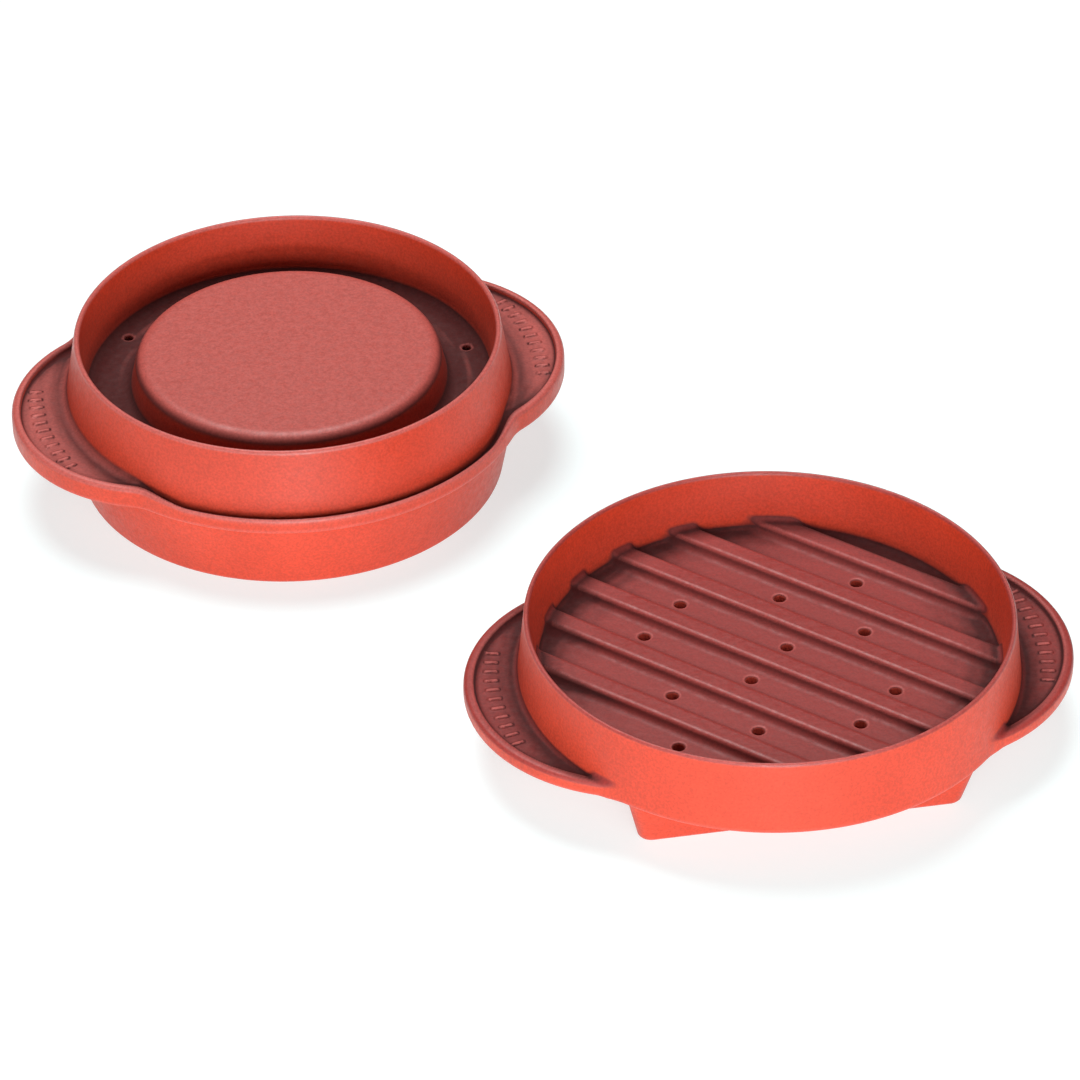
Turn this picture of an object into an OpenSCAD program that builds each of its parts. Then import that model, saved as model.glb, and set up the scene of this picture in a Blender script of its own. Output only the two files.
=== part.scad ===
// Patty press: two loose, double-sided castings that stand side by side.
// press_half: ring with a raised boss on top, round skirt below.
// mould_half: ring with a ridged, vented floor on top, square skirt below.
// Each half is one casting, so each is one node. Millimetres, +Z up.

/* [Layout] */
// Distance between the two ring centres along X
layout_dx = 120.5; // [110:0.5:160]
// Distance between the two ring centres along Y
layout_dy = 116.7; // [105:0.5:160]
// Turn of the press half's handles from the X axis
press_turn = 18; // [0:0.5:45]
// Turn of the mould half's handles from the X axis
mould_turn = 9.7; // [0:0.1:45]

/* [Press half] */
// Height of the round skirt under the flange
press_skirt_h = 20; // [15:0.5:25]
// Outer radius of the round skirt at its lower rim
press_skirt_r = 55.3; // [52:0.1:57]
// Outer radius of the round skirt where it meets the flange
press_skirt_root_r = 59.2; // [58:0.1:60]
// Outer radius of the flange
flange_r = 62; // [61:0.1:63]
// Thickness of the flange
flange_h = 4.5; // [4:0.1:6]
// Height of the rim over the worktop
press_h = 41; // [38:0.5:46]
// Outer radius of the ring at its rim
press_rim_r = 55.4; // [54:0.1:56.5]
// Outer radius of the ring at its foot
press_foot_r = 58.2; // [57.5:0.1:58.3]
// Inner radius of the ring where it meets the channel floor
press_inner_r = 52.7; // [51:0.1:53]
// Width of the groove between the ring's foot and the flange's lip
groove_w = 2.4; // [1.8:0.1:2.8]
// Depth of that groove
groove_d = 3.2; // [2:0.1:3.5]
// Height of the boss's top over the worktop
boss_h = 34.4; // [30:0.1:37]
// Radius of the boss's flat top
boss_top_r = 37.8; // [34:0.1:39]
// Radius of the boss at the channel floor
boss_foot_r = 42.4; // [41:0.1:43]
// Number of vents round the channel floor
channel_vents = 8; // [4:1:12]
// Radius of the circle the channel vents lie on
channel_vent_ring = 48.4; // [47:0.1:49]

/* [Mould half] */
// Height of the square skirt under the ring
mould_skirt_h = 15; // [12:0.5:18]
// Outer width of the square skirt at its lower rim
square_w = 79.7; // [76:0.1:82]
// Outer width of the square skirt where it meets the ring
square_root_w = 86.6; // [84:0.1:88]
// Height of the rim over the worktop
mould_h = 34.5; // [32:0.5:40]
// Outer radius of the ring at its rim
mould_rim_r = 60; // [59:0.1:61]
// Outer radius of the ring at its foot
mould_foot_r = 62; // [61:0.1:63]
// Inner radius of the ring where it meets the floor
mould_inner_r = 56.9; // [56:0.1:58]
// Spacing of the ridges on the floor
ridge_pitch = 16; // [14:0.5:18]
// Width of a ridge's flat top
ridge_top_w = 5; // [4:0.1:6]
// Height of a ridge over the floor
ridge_h = 2.2; // [1.5:0.1:3]
// Number of ridges each side of the middle one
ridges_each_side = 3; // [2:1:3]
// Radius of each vent in both halves
vent_r = 1.5; // [1:0.1:1.6]

/* [Handles] */
// Distance from the ring's centre to the press half's handle centre
press_handle_x = 33.5; // [30:0.1:36]
// Radius of the press half's handle outline
press_handle_r = 40; // [38:0.1:43]
// Distance from the ring's centre to the mould half's handle centre
mould_handle_x = 32.8; // [30:0.1:36]
// Radius of the mould half's handle outline
mould_handle_r = 42.7; // [40:0.1:44]
// Radius of the hollow curve between a handle and its ring
handle_blend_r = 11; // [8:0.5:14]
// Width of the raised border along a handle's edge
border_w = 2.3; // [1.5:0.1:3]
// Raised ribs on each handle
handle_ribs = 11; // [5:2:13]

/* [Hidden] */
$fn = 96;
ring_fn = 180;

coat = "indianred";
mould_floor_t = 4;     // thickness of the mould half's floor and of its handles' border
channel_t = 4.3;       // thickness of the press half's channel floor
boss_top_t = 3.5;      // thickness of the boss's top
pocket_lean = 2;       // how much narrower the pocket under the boss is at its top
cup_inset = 0.6;       // step in from the ring's inner face to the space under the channel
press_border_t = 6;    // thickness of the press half's handles at their border
press_handle_t = 4;    // thickness of the press half's handles inside their border
mould_handle_t = 2.6;  // thickness of the mould half's handles inside their border
rim_t = 1.4;           // wall thickness at every free rim
rim_round = 0.6;       // rounding of the free rims
edge_round = 0.7;      // rounding of the flange's and the ring's lower edge
fillet = 1.5;          // fillet where a wall meets a floor
ridge_fillet = 1.1;    // fillet, and widening, at a ridge's base
boss_round = 2.4;      // rounding round the boss's top
boss_draft = 15;       // lean of the boss's side
skirt_draft = 1.5;     // thickening of a skirt's wall towards its root, on the inside
corner_trim = 0.6;     // how far the square skirt's corners are rounded off
handle_bite = 0.6;     // how far a handle reaches into its ring
handle_arc = 39;       // half angle a handle takes up on the ring
rib_size = [3.6, 1.1]; // length and width of a handle rib
rib_h = 0.5;           // height of a rib over the handle's floor
rib_step = 3.1;        // angle between ribs
rib_inset = 7.2;       // from a handle's tip to the middle of its ribs
ridge_turn = -45;      // turn of the ridges from the handles
vent_fn = 32;
big = 200;             // longer than anything here
lap = 1;               // overlap of solids that join

channel_z = press_skirt_h + channel_t;
mould_floor_z = mould_skirt_h + mould_floor_t;

// Vents along a valley of the mould's floor, from the middle valleys outwards
vent_rows = [[-31.5, 0, 31.5], [-12.5, 12.5], [0]];

// The middle of the box round both halves is the origin
function reach_x(handle_x, handle_r, turn) = handle_x * cos(turn) + handle_r;
press_x = (reach_x(press_handle_x, press_handle_r, press_turn)
    - reach_x(mould_handle_x, mould_handle_r, mould_turn)
    - layout_dx) / 2;
mould_x = press_x + layout_dx;
press_y = layout_dy / 2;
mould_y = -layout_dy / 2;

// Points along an arc about c from angle a0 to a1
function arc(c, r, a0, a1, n = 5) =
    [for (i = [0:n]) c + r * [cos(a0 + (a1 - a0) * i / n), sin(a0 + (a1 - a0) * i / n)]];

// Rounded rim of a wall of thickness t whose outer face reaches up or down to [r, z]
function rim_up(r, z, t) = concat(
    arc([r - rim_round, z - rim_round], rim_round, 0, 90),
    arc([r - t + rim_round, z - rim_round], rim_round, 90, 180));
function rim_down(r, z, t) = concat(
    arc([r - t + rim_round, z + rim_round], rim_round, 180, 270),
    arc([r - rim_round, z + rim_round], rim_round, 270, 360));

// Centre of the circle that touches the ring and the handle from outside
function blend_centre(ring_r, handle_x, handle_r, blend_r) =
    let (a = ring_r + blend_r,
         b = handle_r + blend_r,
         x = (a * a - b * b + handle_x * handle_x) / (2 * handle_x))
    [x, sqrt(a * a - x * x)];

// Outline of one handle and the ring it springs from, drawn in by inset
module handle_outline(ring_r, handle_x, handle_r, inset) {
    blend_r = handle_blend_r + inset;
    c = blend_centre(ring_r - inset, handle_x, handle_r - inset, blend_r);
    circle(r = ring_r - inset, $fn = ring_fn);
    translate([handle_x, 0]) circle(r = handle_r - inset, $fn = ring_fn);
    for (side = [-1, 1])
        difference() {
            polygon([[0, 0], [handle_x, 0], [c[0], side * c[1]]]);
            translate([c[0], side * c[1]]) circle(r = blend_r);
        }
}

// Outline of one handle alone, cut off a little way inside the ring it springs from
module handle_shape(ring_r, handle_x, handle_r, inset) {
    difference() {
        handle_outline(ring_r - handle_bite, handle_x, handle_r, inset);
        circle(r = ring_r - 2 * handle_bite, $fn = ring_fn);
        translate([-big, -big / 2]) square([big, big]);
    }
}

// One handle whose underside is at z0: plate, raised border and a row of plain ribs
module handle(ring_r, handle_x, handle_r, z0, handle_t, border_t) {
    translate([0, 0, z0])
        linear_extrude(handle_t)
            handle_shape(ring_r, handle_x, handle_r, 0);
    translate([0, 0, z0 + handle_t / 2])
        linear_extrude(border_t - handle_t / 2)
            difference() {
                handle_shape(ring_r, handle_x, handle_r, 0);
                handle_outline(ring_r, handle_x, handle_r, border_w);
            }
    rib_r = handle_x + handle_r - rib_inset;
    for (i = [0:handle_ribs - 1])
        rotate((i - (handle_ribs - 1) / 2) * rib_step)
            translate([rib_r - rib_size[0] / 2, -rib_size[1] / 2, z0 + handle_t - rib_h])
                cube([rib_size[0], rib_size[1], 2 * rib_h]);
}

// Slab with sloping ends, lying along Y: half widths w0 at z0 and w1 at z1
module wedge_slab(w0, z0, w1, z1) {
    rotate([90, 0, 0])
        linear_extrude(big, center = true)
            polygon([[-w0, z0], [w0, z0], [w1, z1], [-w1, z1]]);
}

// Square block whose four sides slope
module square_block(w0, z0, w1, z1) {
    intersection() {
        wedge_slab(w0, z0, w1, z1);
        rotate(90) wedge_slab(w0, z0, w1, z1);
    }
}

module press_profile() {
    lip_z = press_skirt_h + flange_h;
    pocket_z = boss_h - boss_top_t;
    pocket_r = boss_top_r - lap;
    cup_r = press_inner_r - cup_inset;
    polygon(concat(
        rim_down(press_skirt_r, 0, rim_t),
        [[press_skirt_root_r, press_skirt_h]],
        [[flange_r, press_skirt_h]],
        arc([flange_r - edge_round, lip_z - edge_round], edge_round, 0, 90),
        [[press_foot_r, lip_z]],
        rim_up(press_rim_r, press_h, rim_t),
        arc([press_inner_r - fillet, channel_z + fillet], fillet, 0, -90),
        arc([boss_foot_r + fillet, channel_z + fillet], fillet, -90, -180 + boss_draft),
        arc([boss_top_r, boss_h - boss_round], boss_round, boss_draft, 90),
        [[0, boss_h]],
        [[0, pocket_z]],
        [[pocket_r - pocket_lean, pocket_z]],
        [[pocket_r, press_skirt_h]],
        arc([cup_r - fillet, press_skirt_h - fillet], fillet, 90, 0)));
}

// Ring-shaped cut outside the two handles
module groove() {
    difference() {
        translate([0, 0, press_skirt_h + flange_h - groove_d])
            linear_extrude(groove_d + lap)
                difference() {
                    circle(r = press_foot_r + groove_w, $fn = ring_fn);
                    circle(r = press_foot_r, $fn = ring_fn);
                }
        for (side = [0, 180])
            rotate(side)
                linear_extrude(big)
                    polygon([
                        [0, 0],
                        [big, big * tan(handle_arc)],
                        [big, -big * tan(handle_arc)]]);
    }
}

module channel_vent_holes() {
    for (i = [0:channel_vents - 1])
        rotate(i * 360 / channel_vents)
            translate([channel_vent_ring, 0, press_skirt_h - lap])
                cylinder(r = vent_r, h = channel_t + 2 * lap, $fn = vent_fn);
}

module press_half() {
    color(coat)
        translate([press_x, press_y, 0])
            rotate(press_turn)
                difference() {
                    union() {
                        rotate_extrude($fn = ring_fn) press_profile();
                        for (side = [0, 180])
                            rotate(side)
                                handle(flange_r, press_handle_x, press_handle_r,
                                    press_skirt_h, press_handle_t, press_border_t);
                    }
                    groove();
                    channel_vent_holes();
                }
}

module mould_profile() {
    polygon(concat(
        [[0, mould_skirt_h]],
        arc([mould_foot_r - edge_round, mould_skirt_h + edge_round], edge_round, -90, 0),
        [[mould_foot_r, mould_floor_z - lap]],
        rim_up(mould_rim_r, mould_h, rim_t),
        arc([mould_inner_r - fillet, mould_floor_z + fillet], fillet, 0, -90),
        [[0, mould_floor_z]]));
}

// Cross-section of one ridge with a filleted base
module ridge_section() {
    top = ridge_top_w / 2;
    r = ridge_fillet;
    foot = top + 2 * r;
    polygon(concat(
        [[-foot, -lap]],
        arc([-foot, r], r, -90, -30, 3),
        [[-top, ridge_h], [top, ridge_h]],
        arc([foot, r], r, 210, 270, 3),
        [[foot, -lap]]));
}

module ridges() {
    intersection() {
        cylinder(r = mould_inner_r + lap, h = mould_h, $fn = ring_fn);
        for (i = [-ridges_each_side:ridges_each_side])
            translate([0, i * ridge_pitch, mould_floor_z])
                rotate([90, 0, 90])
                    linear_extrude(big, center = true)
                        ridge_section();
    }
}

// Vents lie in the valleys between the ridges
module mould_vent_holes() {
    for (side = [-1, 1], i = [0:len(vent_rows) - 1], x = vent_rows[i])
        translate([x, side * (i + 0.5) * ridge_pitch, 0])
            cylinder(r = vent_r, h = mould_h, $fn = vent_fn);
}

module square_skirt() {
    w0 = square_w / 2;
    w1 = square_root_w / 2;
    difference() {
        intersection() {
            square_block(w0, 0, w1, mould_skirt_h + lap);
            cylinder(
                r1 = w0 * sqrt(2) - corner_trim,
                r2 = w1 * sqrt(2) - corner_trim,
                h = mould_skirt_h + lap,
                $fn = ring_fn);
        }
        square_block(w0 - rim_t, 0, w0 - rim_t - skirt_draft, mould_skirt_h);
    }
}

module mould_half() {
    color(coat)
        translate([mould_x, mould_y, 0])
            rotate(mould_turn)
                difference() {
                    union() {
                        rotate_extrude($fn = ring_fn) mould_profile();
                        rotate(ridge_turn) ridges();
                        square_skirt();
                        for (side = [0, 180])
                            rotate(side)
                                handle(mould_foot_r, mould_handle_x, mould_handle_r,
                                    mould_skirt_h, mould_handle_t, mould_floor_t);
                    }
                    rotate(ridge_turn) mould_vent_holes();
                }
}

mould_half();
press_half();
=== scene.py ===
"""Two loose castings of a patty press with a red non-stick coating, on a white worktop.

Each casting is described as a signed distance in millimetres, about its own centre with its
handles along X, and is then meshed, so that every edge and corner has its cast rounding.
"""

import math

import bpy
import numpy as np
from mathutils import Euler, Matrix, Vector


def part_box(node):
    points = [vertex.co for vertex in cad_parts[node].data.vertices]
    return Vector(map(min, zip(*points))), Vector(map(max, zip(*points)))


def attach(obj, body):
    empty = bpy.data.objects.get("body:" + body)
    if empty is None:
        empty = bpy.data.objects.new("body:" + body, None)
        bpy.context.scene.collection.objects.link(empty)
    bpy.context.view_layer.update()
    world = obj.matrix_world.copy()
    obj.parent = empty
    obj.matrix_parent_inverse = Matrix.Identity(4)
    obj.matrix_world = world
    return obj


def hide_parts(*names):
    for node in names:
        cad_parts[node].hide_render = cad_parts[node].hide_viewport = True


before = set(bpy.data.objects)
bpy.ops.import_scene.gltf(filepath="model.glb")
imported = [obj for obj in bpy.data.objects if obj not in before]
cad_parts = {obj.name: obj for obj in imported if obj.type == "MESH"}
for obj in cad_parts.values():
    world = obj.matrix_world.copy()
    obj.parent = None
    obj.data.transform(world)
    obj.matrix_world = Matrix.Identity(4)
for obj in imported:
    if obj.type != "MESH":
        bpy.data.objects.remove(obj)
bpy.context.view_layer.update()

# Meshing, in millimetres
MM = 0.001
STEP = 0.5
SLOPE_STEP = 0.01
MARGIN = 1.3

# Both halves
RIM_ROUND = 1.1
HANDLE_BLEND_R = 11
RIB_COUNT = 11
RIB_PITCH = math.radians(3.1)
RIB_LENGTH = 3.4
RIB_WIDTH = 1.1
RIB_HALF_H = 0.5

# Press half
PRESS_TURN = math.radians(18)
PRESS_H = 41
FLANGE_Z = 20
FLANGE_R = 62
PRESS_HANDLE_X = 33.5
PRESS_HANDLE_R = 40
CHANNEL_Z = 24.6
BOSS_Z = 34.4
POCKET_Z = 30.4
CHANNEL_VENT_RING = 48.5
CHANNEL_VENT_R = 1.15
CHANNEL_VENT_STEP = math.radians(45)

# Mould half
MOULD_TURN = math.radians(9.7)
MOULD_H = 34.5
MOULD_UNDER_Z = 15
MOULD_FLOOR_Z = 19
MOULD_FOOT_R = 62
MOULD_OUTLINE_R = 60.4
MOULD_HANDLE_X = 32.8
MOULD_HANDLE_R = 42.7
RIDGE_TURN = math.radians(-45)
RIDGE_PITCH = 16
RIDGE_H = 2.2
RIDGES_EACH_SIDE = 3
MOULD_VENT_R = 1.5
VENT_PLACES = (31.5, 12.5, 0.0)  # along each valley, from the middle valleys outwards

# Colours of the coating
WALL_DARKER = (0.53, 0.042, 0.015, 1)
WALL_LIGHTER = (0.60, 0.050, 0.019, 1)
# Upward faces of the press: a painted reflection, a paler and duller red
PRESS_UPFACE_PAINTED_SHEEN = (0.46, 0.086, 0.070, 1)
# Upward faces of the mould: painted shade and painted reflection, a dark dull red
MOULD_UPFACE_PAINTED_SHADE_AND_SHEEN = (0.27, 0.026, 0.021, 1)
# Painted shade in hollows, grooves and vents, mixed in where nearby surfaces hide the sky
PAINTED_CORNER_SHADE = (0.045, 0.003, 0.003, 1)
# Painted highlight along convex edges and rims
PAINTED_EDGE_HIGHLIGHT = (0.62, 0.15, 0.13, 1)


# ---------------------------------------------------------------- distances

def soft_max(a, b, k):
    """The larger of a and b, rounded where they meet over a width k."""
    h = np.maximum(k - np.abs(a - b), 0) / k
    return np.maximum(a, b) + h * h * k / 4


def soft_min(a, b, k):
    """The smaller of a and b, rounded where they meet over a width k."""
    return -soft_max(-a, -b, k)


def smooth(t, low, high):
    """Rises smoothly from 0 at low to 1 at high."""
    t = np.clip((t - low) / (high - low), 0, 1)
    return t * t * (3 - 2 * t)


def wall(r, z, start, end):
    """Distance outside a sloping wall through two (r, z) points, positive away from the axis."""
    (r0, z0), (r1, z1) = start, end
    length = math.hypot(r1 - r0, z1 - z0)
    return ((r - r0) * (z1 - z0) - (z - z0) * (r1 - r0)) / length


def rounded_square(x, y, half, growth, corner):
    """Distance outside a square with rounded corners, whose half width is half plus growth."""
    dx = np.abs(x) - half - growth + corner
    dy = np.abs(y) - half - growth + corner
    return np.hypot(np.maximum(dx, 0), np.maximum(dy, 0)) + np.minimum(np.maximum(dx, dy), 0) - corner


def handle_outline(x, y, ring_r, handle_x, handle_r):
    """Distance outside the outline of a disc with a lobed handle on each side."""
    x, y = np.abs(x), np.abs(y)
    shape = np.minimum(np.hypot(x, y) - ring_r, np.hypot(x - handle_x, y) - handle_r)
    a = ring_r + HANDLE_BLEND_R
    b = handle_r + HANDLE_BLEND_R
    cx = (a * a - b * b + handle_x * handle_x) / (2 * handle_x)
    cy = math.sqrt(a * a - cx * cx)
    in_wedge = (y * cx < x * cy) & ((x - handle_x) * cy < y * (cx - handle_x))
    hollow = HANDLE_BLEND_R - np.hypot(x - cx, y - cy)
    near = (hollow > -2 * HANDLE_BLEND_R) & (y < cy)
    return np.where(in_wedge & near, hollow, shape)


def ribs(x, y, z, ring_r, top):
    """A row of plain grip ribs on both handles."""
    angle = np.arctan2(y, np.abs(x))
    number = np.clip(np.round(angle / RIB_PITCH), -(RIB_COUNT // 2), RIB_COUNT // 2)
    turn = angle - number * RIB_PITCH
    r = np.hypot(x, y)
    across = np.abs(r * np.sin(turn)) - RIB_WIDTH / 2
    along = np.abs(r * np.cos(turn) - ring_r) - RIB_LENGTH / 2
    upright = np.abs(z - top + RIB_HALF_H) - RIB_HALF_H
    return soft_max(soft_max(across, along, 0.6), upright, 0.5)


def press_flange(x, y, z, r, out):
    """Flange and handles with a raised border; out rises from 0 at the ring to 1 on the handles."""
    outline = handle_outline(x, y, FLANGE_R, PRESS_HANDLE_X, PRESS_HANDLE_R)
    border_w = 1.15 + 1.15 * out
    border_z = 24.6 + 1.4 * out
    recess_z = 21.3 + 2.9 * smooth(np.abs(x), 42, 50)
    recess_z = recess_z + (CHANNEL_Z - recess_z) * smooth(r, 56.5, 54.5)
    body = soft_max(soft_max(outline, z - border_z, 1.6), FLANGE_Z - z, 1.2)
    body = soft_max(body, -soft_max(outline + border_w, recess_z - z, 0.5 + 0.7 * out), 0.8)
    return soft_min(body, ribs(x, y, z, 66.3, 24.65), 0.5)


def press_ring(r, z):
    """The ring's wall, which leans inwards on its way up."""
    outside = wall(r, z, (58.2, 24.5), (55.4, PRESS_H))
    inside = wall(r, z, (52.7, CHANNEL_Z), (54.1, PRESS_H))
    ring = soft_max(np.maximum(outside, -inside), z - PRESS_H, RIM_ROUND)
    return np.maximum(ring, FLANGE_Z + 0.4 - z)


def press_skirt(r, z):
    """The round skirt, which widens towards the flange."""
    outside = wall(r, z, (55.3, 0), (59.2, FLANGE_Z))
    inside = wall(r, z, (53.9, 0), (52.1, FLANGE_Z))
    skirt = soft_max(np.maximum(outside, -inside), -z, RIM_ROUND)
    return np.maximum(skirt, z - FLANGE_Z - 1)


def channel_vents(x, y, r):
    """Distance outside the ring of vents through the channel floor."""
    turn = np.arctan2(y, x)
    turn = turn - np.round(turn / CHANNEL_VENT_STEP) * CHANNEL_VENT_STEP
    return np.hypot(r * np.cos(turn) - CHANNEL_VENT_RING, r * np.sin(turn)) - CHANNEL_VENT_R


def press_casting(x, y, z):
    """Ring with a boss in it, over a round skirt."""
    r = np.hypot(x, y)
    out = smooth(np.abs(x), 40, 52)
    boss = soft_max(wall(r, z, (41.6, CHANNEL_Z), (39.4, BOSS_Z)), z - BOSS_Z, 3.0)
    boss = np.maximum(boss, FLANGE_Z + 1 - z)
    pocket = soft_max(wall(r, z, (36.8, FLANGE_Z), (34.8, POCKET_Z)), z - POCKET_Z, 3.0)

    body = press_flange(x, y, z, r, out)
    body = soft_min(body, press_ring(r, z), 0.5 + 1.7 * np.maximum(out, r < 56))
    body = soft_min(body, boss, 3.0)
    body = soft_min(body, press_skirt(r, z), 1.6)
    body = soft_max(body, -pocket, 1.6)
    return soft_max(body, -channel_vents(x, y, r), 0.7)


def mould_plate(x, y, z, r):
    """Floor and handles with a raised border."""
    outline = handle_outline(x, y, MOULD_OUTLINE_R, MOULD_HANDLE_X, MOULD_HANDLE_R)
    recess_z = 17.6 + (MOULD_FLOOR_Z - 17.6) * smooth(r, 59.5, 57.5)
    body = soft_max(soft_max(outline, z - MOULD_FLOOR_Z, 1.6), MOULD_UNDER_Z - z, 1.2)
    body = soft_max(body, -soft_max(outline + 2.7, recess_z - z, 1.2), 0.9)
    return soft_min(body, ribs(x, y, z, 68.3, 18.05), 0.5)


def mould_ridges(r, v, z):
    """Parallel ridges across the floor; v runs across them."""
    number = np.clip(np.round(v / RIDGE_PITCH), -RIDGES_EACH_SIDE, RIDGES_EACH_SIDE)
    across = np.abs(v - number * RIDGE_PITCH)
    ridge = wall(across, z, (3.7, MOULD_FLOOR_Z), (2.6, MOULD_FLOOR_Z + 2.3))
    ridge = soft_max(ridge, z - MOULD_FLOOR_Z - RIDGE_H, 0.9)
    return np.maximum(ridge, np.maximum(r - 58.5, MOULD_UNDER_Z + 1 - z))


def mould_ring(r, z):
    """The ring's wall, from the underside up to the rim."""
    outside = wall(r, z, (MOULD_FOOT_R, MOULD_UNDER_Z), (60, MOULD_H))
    inside = wall(r, z, (56.7, MOULD_FLOOR_Z), (58.9, MOULD_H))
    ring = soft_max(np.maximum(outside, -inside), z - MOULD_H, RIM_ROUND)
    return soft_max(ring, MOULD_UNDER_Z - z, 1.0)


def mould_skirt(x, y, z):
    """The square skirt, which widens towards the ring."""
    rise = z / MOULD_UNDER_Z
    outside = rounded_square(x, y, 39.85, 3.45 * rise, 3.2)
    inside = rounded_square(x, y, 38.45, -1.5 * rise, 2)
    skirt = soft_max(np.maximum(outside, -inside), -z, RIM_ROUND)
    return np.maximum(skirt, z - MOULD_UNDER_Z - 1)


def mould_vents(u, v):
    """Distance from the nearest vent's axis; the vents lie in the valleys, which run along u."""
    row = np.clip(np.floor(np.abs(v) / RIDGE_PITCH), 0, len(VENT_PLACES) - 1)
    beside = np.abs(np.abs(u) - np.choose(row.astype(int), VENT_PLACES))
    along = np.where(row == 0, np.minimum(np.abs(u), beside), beside)
    return np.hypot(along, np.abs(v) - (row + 0.5) * RIDGE_PITCH)


def mould_casting(x, y, z):
    """Ring with a ridged and vented floor, over a square skirt."""
    r = np.hypot(x, y)
    c, s = math.cos(RIDGE_TURN), math.sin(RIDGE_TURN)
    u, v = x * c + y * s, y * c - x * s

    body = mould_plate(x, y, z, r)
    body = soft_min(body, mould_ridges(r, v, z), 1.4)
    body = soft_min(body, mould_ring(r, z), 1.5)
    body = soft_min(body, mould_skirt(x, y, z), 1.6)
    return soft_max(body, MOULD_VENT_R - mould_vents(u, v), 0.6)


# ------------------------------------------------------------------ meshing

def slope_of(solid, p):
    """Value and slope of a distance at the points p."""
    value = solid(*p.T)
    ahead = [solid(*(p + offset).T) for offset in np.eye(3) * SLOPE_STEP]
    return value, np.stack([(a - value) / SLOPE_STEP for a in ahead], axis=1)


def crossing_points(field, cells):
    """Mean place, in each cell, of the points where the cell's edges cross the surface."""
    total, crossings = np.zeros((len(cells), 3)), np.zeros(len(cells))
    for a in np.ndindex(2, 2, 2):
        for axis in range(3):
            if a[axis]:
                continue
            b = tuple(c + (n == axis) for n, c in enumerate(a))
            fa, fb = field[tuple((cells + a).T)], field[tuple((cells + b).T)]
            hit = (fa < 0) != (fb < 0)
            share = np.where(hit, fa / np.where(hit, fa - fb, 1), 0)
            point = np.array(a, float) + share[:, None] * (np.arange(3) == axis)
            total += point * hit[:, None]
            crossings += hit
    return cells + total / crossings[:, None]


def drawn_to(solid, points, passes=3, least=0.2):
    """The points moved onto the surface along its slope, and the surface's normals there."""
    for _ in range(passes):
        value, slope = slope_of(solid, points)
        move = value / np.maximum((slope ** 2).sum(1), least)
        points = points - np.clip(move, -STEP, STEP)[:, None] * slope
    slope = slope_of(solid, points)[1]
    return points, slope / np.linalg.norm(slope, axis=1)[:, None]


def cell_faces(inside, index):
    """A four-sided face round every grid edge that crosses the surface, facing outwards."""
    faces = []
    step = np.eye(3, dtype=int)
    for axis in range(3):
        u, v = (axis + 1) % 3, (axis + 2) % 3
        first = np.take(inside, np.arange(inside.shape[axis] - 1), axis)
        second = np.take(inside, np.arange(1, inside.shape[axis]), axis)
        edges = np.argwhere(first != second)
        starts = first[tuple(edges.T)]
        offsets = (step[u] + step[v], step[v], 0 * step[u], step[u])
        quad = np.stack([index[tuple((edges - o).T)] for o in offsets], axis=1)
        quad[~starts] = quad[~starts][:, ::-1]
        faces.append(quad)
    return np.concatenate(faces)


def surface(solid, low, high):
    """Corners, four-sided faces and normals of the surface where the distance is nought."""
    axes = [np.arange(a, b + STEP, STEP) for a, b in zip(low, high)]
    field = solid(*np.meshgrid(*axes, indexing="ij", sparse=True)).astype(np.float32)
    inside = field < 0
    ends = (slice(None, -1), slice(1, None))
    count = sum(inside[ends[i], ends[j], ends[k]].astype(np.int8) for i, j, k in np.ndindex(2, 2, 2))
    cells = np.argwhere((count > 0) & (count < 8))
    index = np.full(count.shape, -1, np.int64)
    index[tuple(cells.T)] = np.arange(len(cells))
    points = crossing_points(field, cells) * STEP + np.array(low)
    points, normals = drawn_to(solid, points)
    return points, cell_faces(inside, index), normals


def enclosure(solid, points, normals):
    """The share of the sky over each point that nearby walls hide, 0 to 1."""
    rays = 24
    golden = math.pi * (3 - math.sqrt(5))
    reaches = (1.5, 3, 5, 8, 12, 17)
    side = np.cross(normals, np.where(np.abs(normals[:, :1]) < 0.7, [[1.0, 0, 0]], [[0, 1.0, 0]]))
    side /= np.linalg.norm(side, axis=1)[:, None]
    other = np.cross(normals, side)
    hidden = np.zeros(len(points))
    for i in range(rays):
        spread, turn = math.sqrt((i + 0.5) / rays), i * golden
        ray = spread * (math.cos(turn) * side + math.sin(turn) * other) + math.sqrt(1 - spread ** 2) * normals
        nearest = np.min([solid(*(points + ray * reach).T) / reach for reach in reaches], axis=0)
        hidden += np.clip(0.5 - 3 * nearest, 0, 1)
    return hidden / rays


def edginess(solid, points):
    """How sharply the surface bends outwards at each point, 0 to 1."""
    h = 0.5
    around = sum(solid(*(points + s * h * d).T) for d in np.eye(3) for s in (-1, 1))
    return np.clip((around - 6 * solid(*points.T)) / h ** 2 - 0.3, 0, 1)


def mesh_of(name, points, faces, normals, values):
    """A smooth mesh with its own normals, and one named value per corner for each of values."""
    mesh = bpy.data.meshes.new(name)
    mesh.vertices.add(len(points))
    mesh.vertices.foreach_set("co", points.astype(np.float32).ravel())
    mesh.loops.add(faces.size)
    mesh.loops.foreach_set("vertex_index", faces.astype(np.int32).ravel())
    mesh.polygons.add(len(faces))
    mesh.polygons.foreach_set("loop_start", np.arange(0, faces.size, 4, dtype=np.int32))
    mesh.update(calc_edges=True)
    mesh.shade_smooth()
    mesh.normals_split_custom_set_from_vertices(normals)
    for label, numbers in values.items():
        layer = mesh.attributes.new(label, "FLOAT", "POINT")
        layer.data.foreach_set("value", numbers.astype(np.float32))
    return mesh


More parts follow.
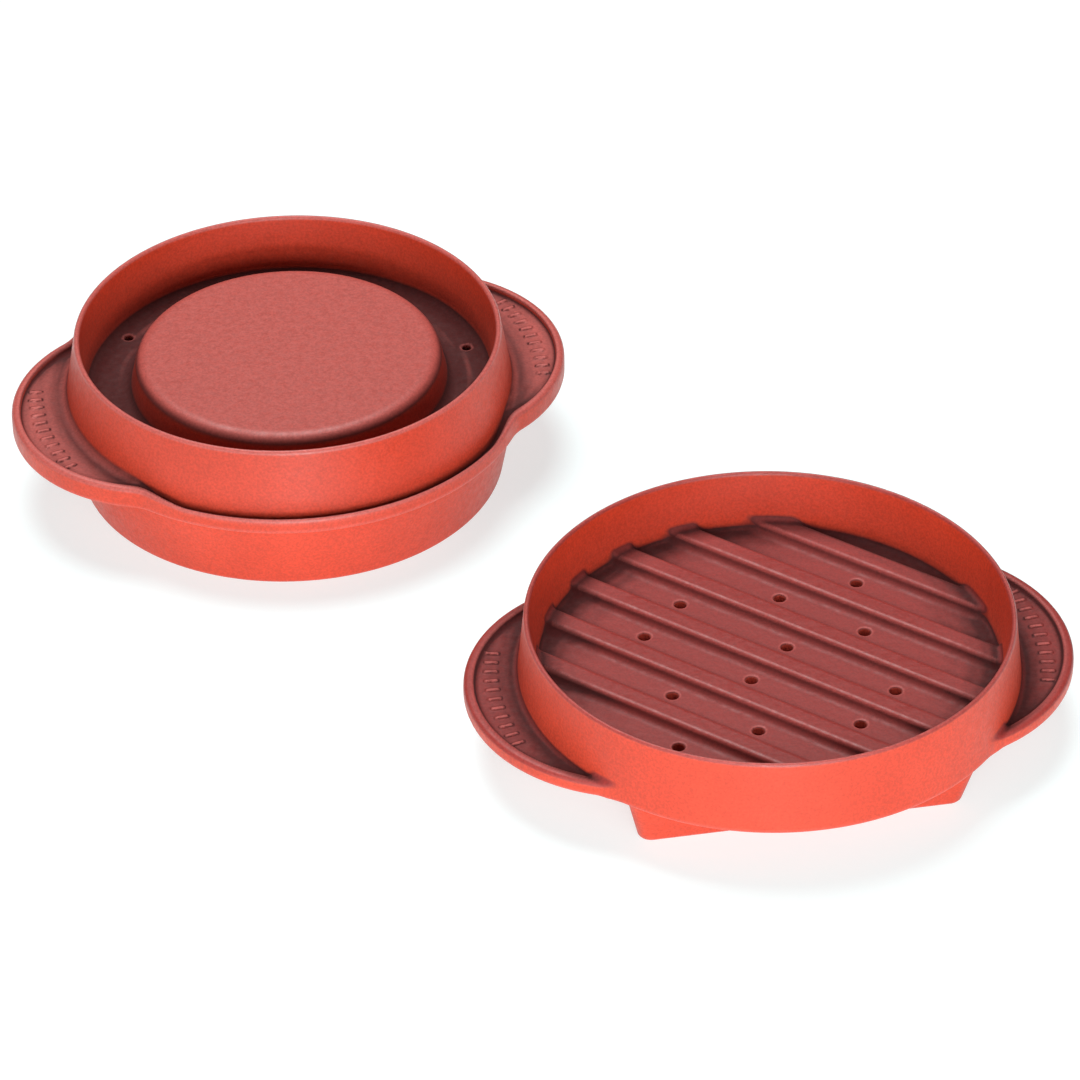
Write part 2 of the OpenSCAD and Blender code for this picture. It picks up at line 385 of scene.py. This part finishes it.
def casting(name, node, body, solid, turn, size, material):
    """Meshes one half and puts it where its CAD node stands; size is half of X, half of Y, and Z."""
    half_x, half_y, height = size
    low_corner = (-half_x - MARGIN, -half_y - MARGIN, -MARGIN)
    high_corner = (half_x + MARGIN, half_y + MARGIN, height + MARGIN)
    points, faces, normals = surface(solid, low_corner, high_corner)
    values = {"closed": enclosure(solid, points, normals), "edge": edginess(solid, points)}

    low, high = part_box(node)
    centre = (low + high) / 2
    place = Matrix.Translation((centre.x, centre.y, low.z)) @ Matrix.Rotation(turn, 4, "Z")
    rotation = np.array(place.to_3x3())
    points = points * MM @ rotation.T + np.array(place.translation)
    mesh = mesh_of(name, points, faces, normals @ rotation.T, values)
    mesh.materials.append(material)
    piece = bpy.data.objects.new(name, mesh)
    bpy.context.scene.collection.objects.link(piece)
    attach(piece, body)
    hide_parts(node)


# ---------------------------------------------------------------- materials

def shader_node(tree, kind, **inputs):
    """A new shader node with some of its inputs set."""
    made = tree.nodes.new(kind)
    for key, value in inputs.items():
        made.inputs[key].default_value = value
    return made


def scaled(tree, value, low, high, to_low, to_high):
    """A value moved from the range low to high into the range to_low to to_high."""
    made = tree.nodes.new("ShaderNodeMapRange")
    for name, number in (("From Min", low), ("From Max", high), ("To Min", to_low), ("To Max", to_high)):
        made.inputs[name].default_value = number
    tree.links.new(value, made.inputs["Value"])
    return made.outputs["Result"]


def attribute(tree, name):
    """One of the named values that the mesh holds for each corner."""
    made = tree.nodes.new("ShaderNodeAttribute")
    made.attribute_name = name
    return made.outputs["Fac"]


def mixed(tree, share, first, second):
    """The first colour blended by share towards the second; each is a socket or fixed."""
    made = tree.nodes.new("ShaderNodeMix")
    made.data_type = "RGBA"
    tree.links.new(share, made.inputs["Factor"])
    for name, colour in (("A", first), ("B", second)):
        if isinstance(colour, tuple):
            made.inputs[name].default_value = colour
        else:
            tree.links.new(colour, made.inputs[name])
    return made.outputs["Result"]


def cloudy_tone(tree, cloud):
    """The walls' red, which varies a little from place to place."""
    tone = tree.nodes.new("ShaderNodeValToRGB")
    for element, position, colour in zip(tone.color_ramp.elements, (0.35, 0.68), (WALL_DARKER, WALL_LIGHTER)):
        element.position = position
        element.color = colour
    tree.links.new(cloud.outputs["Fac"], tone.inputs["Fac"])
    return tone.outputs["Color"]


def coat_colour(tree, cloud, closed, upface_painted_colour):
    """Red walls, and upward faces in a duller colour that is a painted reflection and shade; both get painted
    shade in corners and a painted highlight along edges.
    """
    shape = tree.nodes.new("ShaderNodeNewGeometry")
    facing = tree.nodes.new("ShaderNodeSeparateXYZ")
    tree.links.new(shape.outputs["Normal"], facing.inputs["Vector"])
    # How far a face points upwards; it picks the painted reflection and shade colour
    upface_share = scaled(tree, facing.outputs["Z"], 0.15, 0.42, 0, 1)
    # Painted shade: walls and upward faces darken towards near black where nearby surfaces hide the sky
    walls = mixed(tree, scaled(tree, closed, 0.38, 0.78, 0, 0.94), cloudy_tone(tree, cloud), PAINTED_CORNER_SHADE)
    painted_upfaces = mixed(tree, scaled(tree, closed, 0.10, 0.36, 0, 0.96), upface_painted_colour, PAINTED_CORNER_SHADE)
    # Painted highlight: sharply bent convex edges turn paler pink
    edge_highlight_share = scaled(tree, attribute(tree, "edge"), 0.1, 1.0, 0, 0.36)
    return mixed(tree, edge_highlight_share, mixed(tree, upface_share, walls, painted_upfaces), PAINTED_EDGE_HIGHLIGHT)


def times(tree, colour, factor):
    """A colour multiplied by a value."""
    made = tree.nodes.new("ShaderNodeMix")
    made.data_type = "RGBA"
    made.blend_type = "MULTIPLY"
    made.inputs["Factor"].default_value = 1
    tree.links.new(colour, made.inputs["A"])
    tree.links.new(factor, made.inputs["B"])
    return made.outputs["Result"]


def coating(name, upface_painted_colour):
    """Red non-stick coating: satin, with a fine grain and a painted highlight, a paler pink, along the edges.
    """
    material = bpy.data.materials.new(name)
    material.use_nodes = True
    tree = material.node_tree
    link = tree.links.new
    shader = tree.nodes["Principled BSDF"]
    shader.inputs["Specular IOR Level"].default_value = 0.42

    place = tree.nodes.new("ShaderNodeTexCoord")
    cloud = shader_node(tree, "ShaderNodeTexNoise", Scale=45.0, Detail=3.0, Roughness=0.5)
    grain = shader_node(tree, "ShaderNodeTexNoise", Scale=1500.0, Detail=3.0, Roughness=0.65)
    peel = shader_node(tree, "ShaderNodeTexNoise", Scale=520.0, Detail=2.0, Roughness=0.5)
    for texture in (cloud, grain, peel):
        link(place.outputs["Object"], texture.inputs["Vector"])

    closed = attribute(tree, "closed")
    speck = scaled(tree, grain.outputs["Fac"], 0.36, 0.62, 0.84, 1.10)
    colour = times(tree, coat_colour(tree, cloud, closed, upface_painted_colour), speck)
    link(colour, shader.inputs["Base Color"])

    rough = tree.nodes.new("ShaderNodeMath")
    rough.operation = "MULTIPLY_ADD"
    rough.inputs[1].default_value = 1.2
    rough.use_clamp = True
    link(closed, rough.inputs[0])
    link(scaled(tree, peel.outputs["Fac"], 0.3, 0.7, 0.34, 0.48), rough.inputs[2])
    link(rough.outputs["Value"], shader.inputs["Roughness"])

    relief = shader_node(tree, "ShaderNodeBump", Strength=0.55, Distance=0.00014)
    fine = shader_node(tree, "ShaderNodeBump", Strength=0.35, Distance=0.00006)
    link(peel.outputs["Fac"], relief.inputs["Height"])
    link(grain.outputs["Fac"], fine.inputs["Height"])
    link(relief.outputs["Normal"], fine.inputs["Normal"])
    link(fine.outputs["Normal"], shader.inputs["Normal"])
    return material


# ------------------------------------------------------------ stage, camera

def worktop():
    """A plain, overexposed white worktop."""
    material = bpy.data.materials.new("white_worktop")
    material.use_nodes = True
    shader = material.node_tree.nodes["Principled BSDF"]
    shader.inputs["Base Color"].default_value = (0.40, 0.49, 0.49, 1)
    shader.inputs["Emission Color"].default_value = (0.95, 1, 1, 1)
    shader.inputs["Emission Strength"].default_value = 0.65
    shader.inputs["Roughness"].default_value = 0.9
    shader.inputs["Specular IOR Level"].default_value = 0.1
    side = 6
    corners = [(-side, -side, 0), (side, -side, 0), (side, side, 0), (-side, side, 0)]
    mesh = bpy.data.meshes.new("worktop")
    mesh.from_pydata(corners, [], [(0, 1, 2, 3)])
    mesh.materials.append(material)
    sheet = bpy.data.objects.new("worktop", mesh)
    bpy.context.scene.collection.objects.link(sheet)


def area_light(name, at, target, size, power):
    """A round soft light at one point, aimed at another."""
    data = bpy.data.lights.new(name, "AREA")
    data.shape = "DISK"
    data.size = size
    data.energy = power
    lamp = bpy.data.objects.new(name, data)
    lamp.location = at
    lamp.rotation_euler = (Vector(target) - Vector(at)).to_track_quat("-Z", "Y").to_euler()
    bpy.context.scene.collection.objects.link(lamp)


def lights():
    """Low light from the front, a softbox above, and little light from anywhere else."""
    world = bpy.data.worlds.new("studio")
    world.use_nodes = True
    background = world.node_tree.nodes["Background"]
    background.inputs["Color"].default_value = (1, 1, 1, 1)
    background.inputs["Strength"].default_value = 0.06
    bpy.context.scene.world = world
    walls = (0, 0, 0.03)
    area_light("low_front", (0.12, -1.90, 0.17), walls, 0.55, 20)
    area_light("floor_glow", (0.05, -0.62, 0.30), (0.05, -0.62, 0), 0.3, 3.0)
    area_light("key_right", (0.70, -1.15, 0.38), walls, 0.7, 4.5)
    area_light("fill_left", (-0.80, -1.15, 0.34), walls, 0.8, 4.2)
    area_light("back_softbox", (-0.15, 0.50, 1.55), (0, 0, 0), 1.1, 28)


def camera():
    """Looks along +Y, tilted down, at a point a little behind the middle of both halves."""
    tilt = math.radians(35.95)
    roll = -0.0138
    distance = 1.465
    middle = (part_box("press_half")[0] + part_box("press_half")[1]
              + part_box("mould_half")[0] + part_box("mould_half")[1]) / 4
    aim = Vector((middle.x + 0.0045, middle.y + 0.0203, 0))
    data = bpy.data.cameras.new("camera")
    data.lens = 189.1
    data.sensor_width = 36
    view = bpy.data.objects.new("camera", data)
    turn = Euler((math.pi / 2 - tilt, 0, 0)).to_matrix().to_4x4()
    back = Vector((0, -math.cos(tilt), math.sin(tilt))) * distance
    view.matrix_world = Matrix.Translation(aim + back) @ turn @ Matrix.Rotation(roll, 4, "Z")
    bpy.context.scene.collection.objects.link(view)
    bpy.context.scene.camera = view


press_size = (PRESS_HANDLE_X + PRESS_HANDLE_R, FLANGE_R, PRESS_H)
mould_size = (MOULD_HANDLE_X + MOULD_HANDLE_R, MOULD_FOOT_R, MOULD_H)
press_coat = coating("red_coating_press", PRESS_UPFACE_PAINTED_SHEEN)
mould_coat = coating("red_coating_mould", MOULD_UPFACE_PAINTED_SHADE_AND_SHEEN)
casting("press_casting", "press_half", "press", press_casting, PRESS_TURN, press_size, press_coat)
casting("mould_casting", "mould_half", "mould", mould_casting, MOULD_TURN, mould_size, mould_coat)
worktop()
lights()
camera()
bpy.context.scene.view_settings.view_transform = "Standard"
